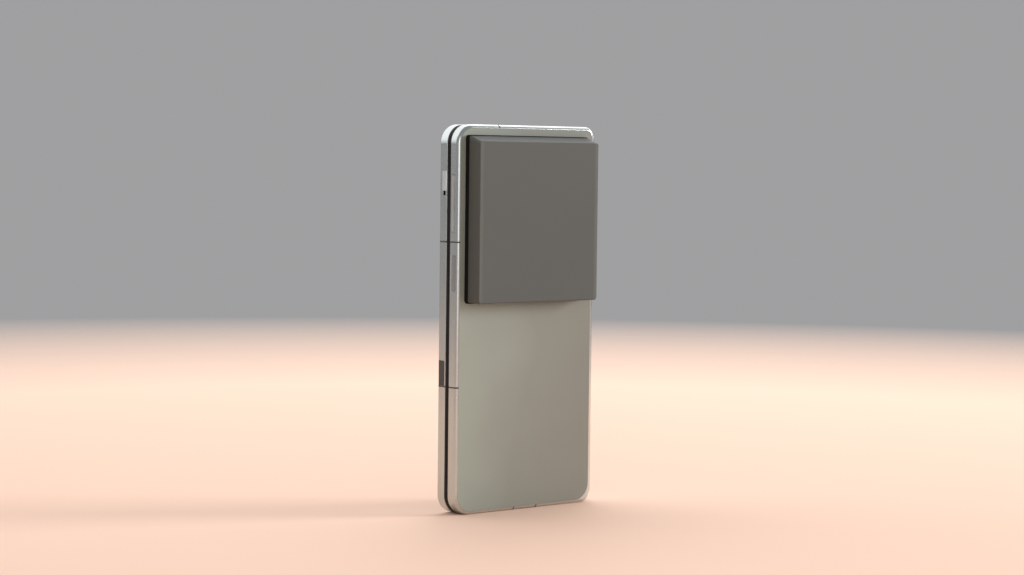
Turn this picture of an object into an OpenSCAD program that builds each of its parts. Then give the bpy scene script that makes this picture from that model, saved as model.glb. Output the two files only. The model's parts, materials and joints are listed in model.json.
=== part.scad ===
// Book-style folding phone, folded shut and standing on its bottom edge.
// X runs from the open edge to the hinge, Y from the camera back to the cover screen, Z is up.
// Each half is drawn lying down, as x, height along the phone, and depth from the fold plane outwards,
// and then stood up on its own side of the fold plane.

/* [Folded phone] */
// Width from the open edge to the back of the hinge spine
folded_width = 73.3; // [66:0.1:88]
// Height
folded_height = 153.4; // [146:0.1:185]
// Thickness of both halves together
folded_thickness = 11.7; // [10.8:0.1:14.1]
// Outline radius of the corners on the open side
corner_radius = 7.5; // [6.2:0.1:9]
// Outline radius of the corners beside the hinge
hinge_corner_radius = 3.8; // [3.7:0.1:5.4]
// Rounding of the outer edges of the camera half's frame
edge_radius = 1.5; // [0.8:0.05:1.6]
// Rounding of the outer edges of the screen half's frame
front_edge_radius = 0.8; // [0.5:0.05:1.2]
// Metal rim left bare around the rear cover
rim_width = 1.3; // [1.3:0.05:2.2]
// Metal rim left bare between the rear cover and the hinge
hinge_rim = 1.1; // [1.1:0.05:2.2]
// Metal rim left bare around the cover glass
glass_rim = 1.1; // [0.9:0.05:1.6]
// Outline radius of the rear cover's lower corner beside the hinge
panel_hinge_radius = 6.8; // [3:0.1:8]
// Outline radius of the rear cover's upper corner beside the hinge
panel_top_radius = 3; // [2:0.1:8]
// Thickness of a frame's side walls
frame_wall = 2.7; // [2.4:0.05:3.2]
// Thickness of the plate in the middle of each frame
mid_plate = 0.5; // [0.3:0.05:0.7]
// Thickness of the rear cover
rear_cover_thickness = 0.5; // [0.4:0.05:0.6]
// Thickness of the cover glass
cover_glass_thickness = 0.55; // [0.4:0.05:0.65]
// Thickness of the cover screen under its glass
cover_screen_thickness = 1; // [0.7:0.05:1.2]

/* [Inner screen] */
// Distance of the folded screen's faces from the fold plane
screen_gap = 0.95; // [0.8:0.05:1.05]
// Distance of the frames' lips from the fold plane
lip_gap = 1.15; // [1.1:0.05:1.2]
// Thickness of the flexible screen
screen_thickness = 0.4; // [0.3:0.05:0.45]
// Thickness of the steel plate behind the screen
screen_plate = 0.2; // [0.1:0.05:0.25]
// Metal lip of the frame around the screen
screen_lip = 0.9; // [0.7:0.05:1.1]
// Width of the raised black bezel
bezel_width = 2.05; // [1.6:0.05:2.4]
// Gap between the two bezels when folded
bezel_gap = 0.3; // [0.2:0.05:0.5]

/* [Hinge] */
// Distance of each hinge axis from the fold plane
pivot_offset = 1.1; // [1:0.05:1.3]
// Metal left outside the trough that takes the spine
hinge_lip = 0.8; // [0.7:0.05:0.95]
// Wall of the spine cover
spine_wall = 0.5; // [0.4:0.05:0.6]
// Frame wall that closes each end of the trough
end_wall = 1.6; // [1:0.05:1.8]
// Width of solid frame beside the trough, which the brackets are screwed to
hinge_rail = 4.5; // [4.4:0.1:5.4]
// Height of the centre of each hinge unit above and below the middle of the phone
unit_spread = 46; // [38:1:50]
// Teeth on each small gear
gear_teeth = 8;
// Teeth that a whole circle of the bracket's rack would have
rack_teeth = 30;
// Wall of the bracket's arc behind its teeth
arc_wall = 0.6; // [0.5:0.05:0.7]
// Thickness of the bracket's neck
bracket_neck = 0.3; // [0.2:0.05:0.35]
// Thickness of the bracket's screwed pad
bracket_pad = 0.7; // [0.6:0.05:0.8]
// Height of a rack and of the arc that carries it
rack_height = 2.4; // [2:0.1:3]
// Height of the gear train between the two racks
train_height = 1.6; // [1.3:0.1:2]
// Thickness of a hinge base's end plates
base_plate = 1.2; // [1:0.1:1.5]
// Thickness of a hinge base's two inner plates
base_web = 0.8; // [0.6:0.05:1]
// Radius of a gear's shaft
shaft_radius = 0.25; // [0.2:0.01:0.28]

/* [Camera] */
// Width of the square cover over the cameras
cover_width = 61.4; // [55:0.1:62]
// Height of the square cover over the cameras, at its rim
cover_height = 65.4; // [57:0.1:66]
// Depth of the cover from its rim to its face
cover_depth = 6.9; // [6:0.1:8]
// How much lower the top edge of the cover's face is than its rim
cover_slope = 2.3; // [0:0.1:3]
// Wall of the cover
cover_wall = 1.4; // [1:0.1:1.7]
// Outline radius of the cover's corners
cover_corner = 1.2; // [1.2:0.1:4]
// Rounding of the cover's front edges
cover_edge = 0.5; // [0.3:0.05:0.7]
// Distance of the top of the cover's rim from the top of the phone
cover_top_margin = 4.4; // [3.5:0.1:7]
// Distance of the cover's left edge from the open edge
cover_side_margin = 3.95; // [3.9:0.05:6]
// Height of the soft gasket that the cover stands on
gasket_height = 1.7; // [1:0.1:1.8]
// How far the gasket stays back from the cover's sides, less than 0 where it stands proud of them
gasket_inset = -0.3; // [-0.4:0.05:2]
// Radius of the round camera island
island_radius = 23; // [19:0.5:24]
// How far the island stands off the rear cover
island_height = 3.2; // [2:0.1:4]
// Radius of a camera's lens barrel
lens_radius = 4.8; // [4:0.1:5]
// Distance of each camera's axis from the centre of the island
lens_circle = 11; // [10.5:0.1:12]

/* [Keys and ports] */
// Length of the volume key
volume_length = 22.5; // [18:0.5:26]
// Height of the middle of the volume key
volume_height = 122.5; // [118:0.5:126]
// How far the volume key stands proud
volume_proud = 0.35; // [0.2:0.05:0.5]
// Length of the power key
power_length = 14; // [12:0.5:16]
// Height of the middle of the power key
power_height = 95.2; // [92:0.1:98]
// Length of the alert slider's cap
slider_length = 7.8; // [6:0.1:9]
// Height of the top of the alert slider in its upper place
slider_top = 135.2; // [132:0.1:138]
// How far the alert slider stands proud
slider_proud = 0.4; // [0.3:0.05:0.6]
// Travel of the alert slider
slider_travel = 2.4; // [1.6:0.1:3]
// Width of a port's plug, which is a fixed standard size
port_width = 8.34;
// Thickness of a port's plug, which is a fixed standard size
port_thickness = 2.56;
// Place of the port along the bottom edge, from the middle
port_place = -0.4; // [-4:0.1:4]
// Width of the plastic bands that part the frame's antennas
band_width = 0.65; // [0.5:0.05:1]

/* [Clearances] */
// Gap between the turning halves and the spine
turn_gap = 0.1; // [0.05:0.01:0.15]
// Gap between the two open halves' edges, on each side
edge_gap = 0.1; // [0.05:0.01:0.2]
// Gap around a piece that is glued or screwed in place
seat_gap = 0.05; // [0.02:0.01:0.1]
// Gap around a key, a slider or a tray
key_gap = 0.1; // [0.05:0.01:0.2]
// Gap above and below gears and racks
axial_gap = 0.1; // [0.05:0.01:0.15]

/* [Hidden] */

$fn = 96;
past = 1;
half_thickness = folded_thickness / 2;
open_x = -folded_width / 2;
spine_x = folded_width / 2;
spine_radius = half_thickness - pivot_offset - hinge_lip - turn_gap;
pivot_x = spine_x - spine_radius;
trough_radius = spine_radius + turn_gap;
hinge_x = pivot_x + pivot_offset - edge_gap;
half_middle = (open_x + hinge_x) / 2;
shift_x = max(slider_proud, volume_proud) / 2;
shift_y = (cover_depth + gasket_height) / 2;

// Depths from the fold plane
screen_back = screen_gap + screen_thickness;
stack_back = screen_back + screen_plate;
plate_back = stack_back + mid_plate;
cover_seat = half_thickness - rear_cover_thickness;
glass_seat = half_thickness - cover_glass_thickness;
cover_screen_seat = glass_seat - cover_screen_thickness;
side_depth = (screen_gap + half_thickness) / 2;
seam_radius = 0.15;

// The cavity that holds each half's electronics
cavity_x0 = open_x + frame_wall;
cavity_x1 = pivot_x - trough_radius - hinge_rail;
cavity_h0 = frame_wall;
cavity_h1 = folded_height - frame_wall;
cavity_corner = corner_radius - frame_wall;
inside_gap = 0.3;
board_thickness = 0.7;
board_face = plate_back + board_thickness;
sub_board_height = 16;
main_board_height = 58;
battery_gap = 1.2;
battery_x1 = cavity_x1 - 2.8;

// The outline of the folding screen and its bezel
screen_x0 = open_x + screen_lip + key_gap;
screen_h0 = screen_lip + key_gap;
fold_start = pivot_x - 0.5;
bezel_inset = 0.2;
bezel_end = pivot_x - 0.35;
bezel_face = bezel_gap / 2;

// The hinge's gears follow from the room inside the spine
spine_inner = spine_radius - spine_wall;
arc_outer = spine_inner - 0.15;
addendum = 0.8;
dedendum = 1.05;
gear_module = (arc_outer - arc_wall) / (rack_teeth / 2 + dedendum);
gear_radius = gear_module * gear_teeth / 2;
gear_tip = gear_radius + addendum * gear_module;
gear_room = gear_tip + 0.08;
rack_radius = gear_module * rack_teeth / 2;
arc_inner = rack_radius - addendum * gear_module;
gear_ratio = rack_teeth / gear_teeth;
backlash = 0.18;
pressure_angle = 22;
outer_gear_y = 3 * gear_radius;
inner_gear_y = gear_radius;
gear_dx = sqrt(pow(rack_radius - gear_radius, 2) - pow(outer_gear_y - pivot_offset, 2));
gear_x = pivot_x + gear_dx;
contact_angle = -atan2(outer_gear_y - pivot_offset, gear_dx);
arc_end = contact_angle + 10;
neck_back = stack_back + bracket_neck;
arc_start = -180 + asin((stack_back + bracket_neck / 2 - pivot_offset) / rack_radius);
spine_front = pivot_x + neck_back - pivot_offset + turn_gap;

// Levels of a hinge unit, from its bottom plate upwards
camera_rack_z = base_plate;
lower_web_z = camera_rack_z + rack_height;
train_z = lower_web_z + base_web;
upper_web_z = train_z + train_height;
display_rack_z = upper_web_z + base_web;
unit_height = display_rack_z + rack_height + base_plate;
unit_z = [folded_height / 2 - unit_spread - unit_height / 2, folded_height / 2 + unit_spread - unit_height / 2];
spine_end = end_wall + turn_gap;
end_cap_height = 4;

// Brackets are screwed to the solid rail beside the trough
pad_x0 = cavity_x1 + 0.4;
pad_x1 = pivot_x - trough_radius;
pad_back = stack_back + bracket_pad;
screw_x = (pad_x0 + pad_x1) / 2;
screw_inset = 2.6;
screw_radius = 0.5;
screw_head_radius = 0.95;
screw_head = 0.35;
screw_length = 2;

// Camera island and cover
cover_x0 = open_x + cover_side_margin;
cover_h1 = folded_height - cover_top_margin;
cover_h0 = cover_h1 - cover_height;
cover_top = cover_h1 - cover_slope;
cover_tilt = atan(cover_slope / cover_depth);
island_x = cover_x0 + cover_width / 2;
island_h = (cover_h0 + cover_top) / 2;
island_hole = island_radius - 3;
glass_inset = 2;
island_glass_thickness = 0.6;
gasket_width = 4;
cover_flange = 3.6;
cover_flange_height = 1.2;
lens_turns = [30, 150, 270];
module_size = 2 * lens_radius + 1.9;
flash_radius = 1.6;

// Side keys, all cut through the open edge of a frame
volume_depth = 3;
volume_width = 1.8;
power_depth = 3.25;
power_width = 2.5;
power_recess = 0.15;
key_flange = 0.6;
key_overlap = 0.7;
rocker_room = 0.3;
plunger_gap = 0.25;
slider_depth = 2.7;
slider_width = 1.9;
slot_width = 1.3;
upper_band_height = 107.4;
lower_band_height = 50.4;
top_band_x = -16;
bottom_band_x = [-6.65, 5];
window_height = 9.9;

// Card tray in the bottom edge of the display half
tray_x = 10;
tray_face_width = 13.5;
tray_face_thickness = 2;
tray_width = 12;
tray_thickness = 1;
tray_length = 16;
tray_depth = side_depth;

// Flexible cable through the hinge
cable_height = 12;
cable_middle = folded_height / 2;
cable_thickness = 0.12;
cable_depth = 2.9;
cable_slot = 0.5;
cable_reach = 2.2;
cable_end = cavity_x1 - 2.2;

module stand_up() translate([shift_x, shift_y, 0]) rotate([90, 0, 0]) children();
module camera_side() stand_up() children();
module display_side() translate([shift_x, shift_y, 0]) mirror([0, 1, 0]) rotate([90, 0, 0]) children();
module in_spine() translate([shift_x, shift_y, 0]) children();

// A corner to be cut from an outline, turned in steps of a quarter
module corner_cut(x, y, radius, turn)
  translate([x, y]) rotate(turn) difference() {
    translate([-past, -past]) square(radius + past);
    translate([radius, radius]) circle(radius);
  }

// An upright rectangle with one corner radius on each side
module outline(x0, x1, h0, h1, radius_0, radius_1) difference() {
  translate([x0, h0]) square([x1 - x0, h1 - h0]);
  if (radius_0 > 0) {
    corner_cut(x0, h0, radius_0, 0);
    corner_cut(x0, h1, radius_0, 270);
  }
  if (radius_1 > 0) {
    corner_cut(x1, h0, radius_1, 90);
    corner_cut(x1, h1, radius_1, 180);
  }
}
module slab(x0, x1, h0, h1, d0, d1, radius_0 = 0, radius_1 = 0)
  translate([0, 0, d0]) linear_extrude(d1 - d0) outline(x0, x1, h0, h1, radius_0, radius_1);
module box(x0, x1, h0, h1, d0, d1) translate([x0, h0, d0]) cube([x1 - x0, h1 - h0, d1 - d0]);
module pin(x, h, d0, d1, radius) translate([x, h, d0]) cylinder(r = radius, h = d1 - d0);

// A band swept round a rectangle with rounded corners; its section is drawn at x from minus its width to 0
module straight(length) rotate([90, 0, 0]) translate([0, 0, -length]) linear_extrude(length) children();
module corner(radius) rotate_extrude(angle = 90) translate([radius, 0]) children();
module swept(x0, x1, h0, h1, radius_0, radius_1) {
  across = x1 - x0 - radius_0 - radius_1;
  translate([x1, h0 + radius_1, 0]) straight(h1 - h0 - 2 * radius_1) children();
  translate([x1 - radius_1, h1, 0]) rotate(90) straight(across) children();
  translate([x0, h1 - radius_0, 0]) rotate(180) straight(h1 - h0 - 2 * radius_0) children();
  translate([x0 + radius_0, h0, 0]) rotate(270) straight(across) children();
  translate([x1 - radius_1, h1 - radius_1, 0]) corner(radius_1) children();
  translate([x0 + radius_0, h1 - radius_0, 0]) rotate(90) corner(radius_0) children();
  translate([x0 + radius_0, h0 + radius_0, 0]) rotate(180) corner(radius_0) children();
  translate([x1 - radius_1, h0 + radius_1, 0]) rotate(270) corner(radius_1) children();
}

// A solid block with rounded outer edges, d0 its inner face and d1 its outer face
module edge_section(width, d0, d1, inner_radius, outer_radius) difference() {
  translate([-width, d0]) square([width, d1 - d0]);
  corner_cut(0, d1, outer_radius, 180);
  corner_cut(0, d0, inner_radius, 90);
}
module rounded_block(x0, x1, h0, h1, d0, d1, radius_0, radius_1, inner_radius, outer_radius) {
  width = min(radius_0, radius_1) - 0.1;
  inset = width - 0.4;
  swept(x0, x1, h0, h1, radius_0, radius_1) edge_section(width, d0, d1, inner_radius, outer_radius);
  slab(x0 + inset, x1 - inset, h0 + inset, h1 - inset, d0, d1, radius_0 - inset, radius_1 - inset);
}

// The metal body of either half before its own cut-outs
module half_body(outer_radius) difference() {
  rounded_block(open_x, hinge_x, 0, folded_height, lip_gap, half_thickness,
    corner_radius, hinge_corner_radius, seam_radius, outer_radius);
  slab(open_x + screen_lip, hinge_x + past, screen_lip, folded_height - screen_lip, 0, stack_back,
    corner_radius - screen_lip, 0);
  slab(cavity_x0, cavity_x1, cavity_h0, cavity_h1, plate_back, half_thickness + past, cavity_corner, 0.8);
  translate([pivot_x, end_wall, pivot_offset]) rotate([-90, 0, 0])
    cylinder(r = trough_radius, h = folded_height - 2 * end_wall);
  box(pivot_x, hinge_x + past, end_wall, folded_height - end_wall, pivot_offset, pivot_offset + trough_radius);
  bracket_seats();
  box(cavity_x1 - past, pivot_x, cable_middle - cable_height / 2 - cable_slot,
    cable_middle + cable_height / 2 + cable_slot, cable_depth - cable_slot, cable_depth + cable_slot);
}
module bracket_seats() for (z = unit_z) {
  box(pad_x0 - seat_gap, pivot_x - 2, z - seat_gap, z + unit_height + seat_gap, stack_back - past, pad_back);
  screw_places(z)
    pin(screw_x, 0, stack_back, pad_back - screw_head + screw_length + seat_gap, screw_radius + 0.02);
}
module screw_places(z)
  for (h = [z + screw_inset, z + unit_height - screw_inset]) translate([0, h, 0]) children();

// Where the plastic bands cross the frame's walls
module open_edge_band(height) box(open_x - past, cavity_x0, height - band_width / 2, height + band_width / 2,
  0, half_thickness + past);
module top_band(x) box(x - band_width / 2, x + band_width / 2, cavity_h1, folded_height + past,
  0, half_thickness + past);
module bottom_band(x) box(x - band_width / 2, x + band_width / 2, -past, cavity_h0, 0, half_thickness + past);
module band_places() {
  open_edge_band(upper_band_height);
  open_edge_band(lower_band_height);
  top_band(top_band_x);
  for (x = bottom_band_x) bottom_band(x);
}

// Openings in the camera half's walls
module port_section(grow) {
  flat = port_width - port_thickness;
  translate([-flat / 2, -port_thickness / 2 - grow]) square([flat, port_thickness + 2 * grow]);
  for (side = [-1, 1]) translate([side * flat / 2, 0]) circle(port_thickness / 2 + grow);
}
module port_bore(grow, h0, h1) translate([port_place, h0, side_depth]) rotate([-90, 0, 0])
  linear_extrude(h1 - h0) port_section(grow);
shell_wall = 0.3;
module key_slot(middle, length, depth, width)
  slab(open_x - past, cavity_x0 + past, middle - length / 2, middle + length / 2,
    depth - width / 2, depth + width / 2);
speaker_x0 = 11.5;
speaker_pitch = 2;
module speaker_holes() for (i = [0 : 5]) translate([speaker_x0 + i * speaker_pitch, -past, side_depth])
  rotate([-90, 0, 0]) cylinder(r = 0.6, h = cavity_h0 + 2 * past, $fn = 32);
module camera_openings() {
  port_bore(shell_wall + seat_gap, -past, port_h1 + seat_gap);
  speaker_holes();
  key_slot(volume_height, volume_length, volume_depth, volume_width);
  key_slot(power_height, power_length, power_depth, power_width);
  slab(open_x - past, open_x + power_recess, power_height - power_length / 2 - 0.4,
    power_height + power_length / 2 + 0.4,
    power_depth - power_width / 2 - 0.3, power_depth + power_width / 2 + 0.3);
  translate([speaker_x0 - 19.6, -past, side_depth]) rotate([-90, 0, 0]) cylinder(r = 0.5, h = 5, $fn = 32);
  translate([top_mic_x, folded_height - frame_wall - past, side_depth]) rotate([-90, 0, 0])
    cylinder(r = 0.5, h = 5, $fn = 32);
  pin(selfie_x, selfie_h, 0, plate_back + past, selfie_radius + key_gap);
}
top_mic_x = 12;
selfie_x = cavity_x0 + 6;
selfie_h = folded_height - 9;
selfie_radius = 1.9;

// The rear cover's outline, whose two corners beside the hinge differ
module panel_slab(inset, top) {
  rim = rim_width + inset;
  x1 = hinge_x - hinge_rim - inset;
  radius = corner_radius - rim;
  intersection() {
    slab(open_x + rim, x1, rim, folded_height - rim, cover_seat, top, radius, panel_top_radius - inset);
    slab(open_x + rim, x1, rim, folded_height + 20, cover_seat, top, radius, panel_hinge_radius - inset);
  }
}
module camera_frame_solid() difference() {
  half_body(edge_radius);
  panel_slab(0, half_thickness + past);
  camera_openings();
}
module camera_frame() color([0.62, 0.62, 0.61]) camera_side() difference() {
  camera_frame_solid();
  band_places();
}
module camera_frame_bands() color([0.42, 0.42, 0.42]) camera_side() intersection() {
  camera_frame_solid();
  band_places();
}
module rear_cover() color([0.55, 0.54, 0.5]) camera_side() difference() {
  panel_slab(seat_gap, half_thickness);
  pin(island_x, island_h, 0, half_thickness + past, island_hole);
}

// Raised bezel, open towards the hinge; its foot stands on the lip, beside the screen
module bezel_ring() difference() {
  slab(open_x + bezel_inset, bezel_end, bezel_inset, folded_height - bezel_inset, bezel_face, lip_gap,
    corner_radius - bezel_inset, 0);
  slab(open_x + screen_lip, bezel_end + past, screen_lip, folded_height - screen_lip, screen_gap,
    half_thickness, corner_radius - screen_lip, 0);
  slab(open_x + bezel_inset + bezel_width, bezel_end + past, bezel_inset + bezel_width,
    folded_height - bezel_inset - bezel_width, 0, half_thickness,
    corner_radius - bezel_inset - bezel_width, 0);
}
module camera_bezel() color([0.06, 0.06, 0.065]) camera_side() bezel_ring();
module flat_screen(d0, d1) slab(screen_x0, fold_start, screen_h0, folded_height - screen_h0, d0, d1,
  corner_radius - screen_lip - key_gap, 0);
module camera_screen_plate() color([0.5, 0.5, 0.5]) camera_side() difference() {
  flat_screen(screen_back, stack_back);
  pin(selfie_x, selfie_h, 0, plate_back, selfie_radius + key_gap);
}
module inner_screen_camera_side() color([0.02, 0.02, 0.025]) camera_side() difference() {
  flat_screen(screen_gap, screen_back);
  pin(selfie_x, selfie_h, 0, plate_back, selfie_radius + key_gap);
}

// Electronics of the camera half
main_board_h0 = cavity_h1 - inside_gap - main_board_height;
sub_board_h1 = cavity_h0 + inside_gap + sub_board_height;
module lens_places() for (turn = lens_turns)
  translate([island_x + lens_circle * cos(turn), island_h + lens_circle * sin(turn), 0]) children();
flash_h = island_h + lens_circle + 3.5;
module main_board() color([0.05, 0.25, 0.16]) camera_side() difference() {
  slab(cavity_x0 + inside_gap + 2, cavity_x1 - inside_gap, main_board_h0, cavity_h1 - inside_gap,
    plate_back, board_face, cavity_corner - inside_gap, 0.8);
  lens_places() translate([0, 0, side_depth])
    cube([module_size + 0.4, module_size + 0.4, half_thickness], center = true);
  pin(selfie_x, selfie_h, 0, half_thickness, selfie_radius + 1.6);
}
module board_shields() color([0.75, 0.75, 0.73]) camera_side() {
  shield_top = cover_seat - 0.45;
  lower = main_board_h0 + 1.5;
  box(cavity_x0 + 4, island_x - 17, lower, lower + 32, board_face, shield_top);
  box(island_x + 9, cavity_x1 - 1, lower, lower + 14, board_face, shield_top);
  box(island_x - 17, cavity_x1 - 1, flash_h + 5, cavity_h1 - 2, board_face, shield_top);
}
module camera_battery() color([0.12, 0.12, 0.13]) camera_side()
  slab(cavity_x0 + inside_gap + 2, battery_x1, sub_board_h1 + battery_gap, main_board_h0 - battery_gap,
    plate_back, cover_seat - 0.25, 1, 1);
port_h0 = 0.35;
port_h1 = 7.6;
module sub_board() color([0.05, 0.25, 0.16]) camera_side() difference() {
  slab(cavity_x0 + inside_gap, cavity_x1 - inside_gap, cavity_h0 + inside_gap, sub_board_h1,
    plate_back, board_face, cavity_corner - inside_gap, 0.8);
  box(port_place - port_width / 2 - 1, port_place + port_width / 2 + 1, 0, port_h1, 0, half_thickness);
  box(speaker_box_x0 - 0.2, cavity_x1, 0, speaker_box_h1 + 0.2, 0, half_thickness);
  pin(motor_x, motor_h, 0, half_thickness, motor_radius + 0.2);
}
module usb_port() color([0.72, 0.72, 0.72]) camera_side() {
  difference() {
    port_bore(shell_wall, port_h0, port_h1);
    port_bore(0, port_h0 - past, port_h1 - 1);
  }
  box(port_place - 3.3, port_place + 3.3, port_h0 + 1, port_h1 - 1, side_depth - 0.35, side_depth + 0.35);
}
speaker_box_x0 = speaker_x0 - 1.5;
speaker_box_h1 = 15.5;
module bottom_speaker() color([0.1, 0.1, 0.1]) camera_side() difference() {
  slab(speaker_box_x0, cavity_x1 - inside_gap, cavity_h0 + seat_gap, speaker_box_h1, plate_back,
    cover_seat - 0.3, 0.8, 0.8);
  box(speaker_x0 - 0.7, cavity_x1 - inside_gap - 0.8, 0, cavity_h0 + 2, side_depth - 0.7, side_depth + 0.7);
}
motor_x = -17;
motor_h = 11;
motor_radius = 4;
module vibration_motor() color([0.7, 0.7, 0.68]) camera_side()
  pin(motor_x, motor_h, plate_back, plate_back + 2.7, motor_radius);

// Camera island and what it holds
module camera_island() color([0.1, 0.1, 0.1]) camera_side() difference() {
  translate([island_x, island_h, 0]) union() {
    translate([0, 0, half_thickness]) rotate_extrude() difference() {
      square([island_radius, island_height]);
      corner_cut(island_radius, island_height, 0.8, 180);
    }
    translate([0, 0, cover_seat - 0.3])
      cylinder(r = island_hole - seat_gap, h = rear_cover_thickness + 0.3 + past);
  }
  pin(island_x, island_h, half_thickness + island_height - island_glass_thickness, half_thickness + 9,
    island_radius - glass_inset);
  lens_places() pin(0, 0, 0, half_thickness + island_height, lens_radius + key_gap);
  pin(island_x, flash_h, 0, half_thickness + island_height, flash_radius + key_gap);
}
module island_glass() color([0.03, 0.03, 0.035]) camera_side() difference() {
  pin(island_x, island_h, half_thickness + island_height - island_glass_thickness,
    half_thickness + island_height, island_radius - glass_inset - seat_gap);
  pin(island_x, flash_h, 0, half_thickness + 9, flash_radius + key_gap);
}
lens_top = half_thickness + island_height - island_glass_thickness - seat_gap;
module camera_modules() color([0.15, 0.15, 0.16]) camera_side() lens_places() difference() {
  union() {
    translate([-module_size / 2, -module_size / 2, plate_back])
      cube([module_size, module_size, cover_seat - 0.35 - plate_back]);
    pin(0, 0, plate_back, lens_top, lens_radius);
  }
  translate([0, 0, lens_top - 1.4]) cylinder(r = lens_radius - 1, h = 2);
}
module camera_flash() color([0.95, 0.9, 0.7]) camera_side()
  pin(island_x, flash_h, board_face, half_thickness + island_height, flash_radius);
module inner_selfie_camera() color([0.1, 0.1, 0.11]) camera_side() {
  pin(selfie_x, selfie_h, screen_gap + 0.1, plate_back, selfie_radius);
  pin(selfie_x, selfie_h, plate_back, plate_back + 2.4, selfie_radius + 1.3);
}

// A key: its head in the slot, and a flange behind the wall
module key(middle, length, depth, width, face_x, room) {
  slab(face_x, cavity_x0 + room, middle - length / 2 + key_gap, middle + length / 2 - key_gap,
    depth - width / 2 + key_gap, depth + width / 2 - key_gap);
  slab(cavity_x0 + room, cavity_x0 + room + key_flange, middle - length / 2 - key_overlap,
    middle + length / 2 + key_overlap,
    max(depth - width / 2 - 0.3, plate_back + key_gap), depth + width / 2 + 0.5);
}
module volume_key() color([0.6, 0.6, 0.6]) camera_side()
  key(volume_height, volume_length, volume_depth, volume_width, open_x - volume_proud, rocker_room);
module power_key() color([0.45, 0.45, 0.46]) camera_side()
  key(power_height, power_length, power_depth, power_width, open_x + power_recess - 0.05, key_gap);
strip_x = cavity_x0 + 1.65;
module plunger(h, room) box(cavity_x0 + room + key_flange + plunger_gap, strip_x, h - 1.5, h + 1.5,
  volume_depth - 0.8, volume_depth + 1);
module key_switches() color([0.75, 0.55, 0.2]) camera_side() {
  box(strip_x, strip_x + 0.2, power_height - power_length / 2, volume_height + volume_length / 2,
    plate_back, volume_depth + 1.2);
  plunger(power_height, key_gap);
  for (side = [-1, 1]) plunger(volume_height + side * volume_length / 3, rocker_room);
}

// Square cover over the cameras, on its gasket
cover_rim = half_thickness + gasket_height;
cover_face = cover_rim + cover_depth;
module cover_outline_slab(inset, top, d0, d1) slab(cover_x0 + inset, cover_x0 + cover_width - inset,
  cover_h0 + inset, top - inset, d0, d1, max(cover_corner - inset, 0.6), max(cover_corner - inset, 0.6));

// Everything below the cover's sloping top, with its two upper corners rounded
module below_cover_top() translate([0, cover_top, cover_face]) rotate([cover_tilt, 0, 0])
  slab(cover_x0, cover_x0 + cover_width, -2 * cover_height, 0, -cover_height, cover_height,
    cover_corner, cover_corner);
module cover_top_round() {
  reach = cover_edge * tan(45 - cover_tilt / 2);
  middle = [cover_top - reach, cover_face - cover_edge];
  last = [cover_top + reach * sin(cover_tilt), cover_face - reach * cos(cover_tilt)];
  translate([cover_x0 - past, 0, 0]) rotate([90, 0, 90]) linear_extrude(cover_width + 2 * past) difference() {
    polygon([middle, [middle[0], cover_face + past], [last[0] + past, cover_face + past],
      last + past * [cos(cover_tilt), sin(cover_tilt)], last]);
    translate(middle) circle(cover_edge);
  }
}
module camera_cover() color([0.4, 0.4, 0.38]) camera_side() difference() {
  intersection() {
    rounded_block(cover_x0, cover_x0 + cover_width, cover_h0, cover_h1 + cover_corner, cover_rim, cover_face,
      cover_corner, cover_corner, 0.2, cover_edge);
    below_cover_top();
  }
  cover_top_round();
  cover_outline_slab(cover_flange, cover_top, cover_rim - past, cover_rim + cover_flange_height);
  cover_outline_slab(cover_wall, cover_top, cover_rim + cover_flange_height, cover_face - cover_wall);
}
module cover_gasket() color([0.03, 0.03, 0.03]) camera_side() difference() {
  cover_outline_slab(gasket_inset, cover_h1, half_thickness, cover_rim);
  cover_outline_slab(gasket_inset + gasket_width, cover_h1, half_thickness - past, cover_rim + past);
}

// The display half
module display_openings() {
  slider_h0 = slider_top - slider_length;
  slab(open_x - past, cavity_x0 + past, slider_h0 - slider_travel + 0.6, slider_top - 0.6,
    slider_depth - slot_width / 2, slider_depth + slot_width / 2);
  port_like_slot();
  translate([0, 0, tray_depth]) rotate([-90, 0, 0]) translate([0, 0, -past])
    linear_extrude(cavity_h0 + 2 * past) tray_section(tray_face_width, tray_face_thickness, key_gap);
  translate([tray_x - 9.5, -past, tray_depth]) rotate([-90, 0, 0]) cylinder(r = 0.45, h = 5, $fn = 32);
}
module tray_section(width, thickness, grow) {
  flat = width - thickness;
  translate([tray_x - flat / 2, -thickness / 2 - grow]) square([flat, thickness + 2 * grow]);
  for (side = [-1, 1]) translate([tray_x + side * flat / 2, 0]) circle(thickness / 2 + grow);
}
earpiece_width = 12;
earpiece_height = 2.4;
earpiece_depth = cover_screen_seat - 0.9;
module port_like_slot() box(half_middle - earpiece_width / 2, half_middle + earpiece_width / 2,
  cavity_h1 - past, folded_height + past, earpiece_depth - 0.35, earpiece_depth + 0.35);
module display_frame_solid() difference() {
  half_body(front_edge_radius);
  slab(open_x + glass_rim, hinge_x - glass_rim, glass_rim, folded_height - glass_rim, glass_seat,
    half_thickness + past, corner_radius - glass_rim, hinge_corner_radius - glass_rim);
  slab(cavity_x0, cover_screen_x1 + seat_gap, cavity_h0, cavity_h1, cover_screen_seat - seat_gap,
    half_thickness, cavity_corner, 0.8);
  display_openings();
}
cover_screen_x1 = pivot_x - 3.2;
front_camera_radius = 1.9;
front_camera_h = cavity_h1 - earpiece_height - 0.3 - front_camera_radius - 1.3;
module window_place() box(open_x - past, cavity_x0, lower_band_height + band_width / 2,
  lower_band_height + band_width / 2 + window_height, window_depth, half_thickness + past);
window_depth = 1.65;
module display_frame() color([0.62, 0.62, 0.61]) display_side() difference() {
  display_frame_solid();
  band_places();
  window_place();
}
module display_frame_bands() color([0.42, 0.42, 0.42]) display_side() intersection() {
  display_frame_solid();
  band_places();
}
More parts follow.
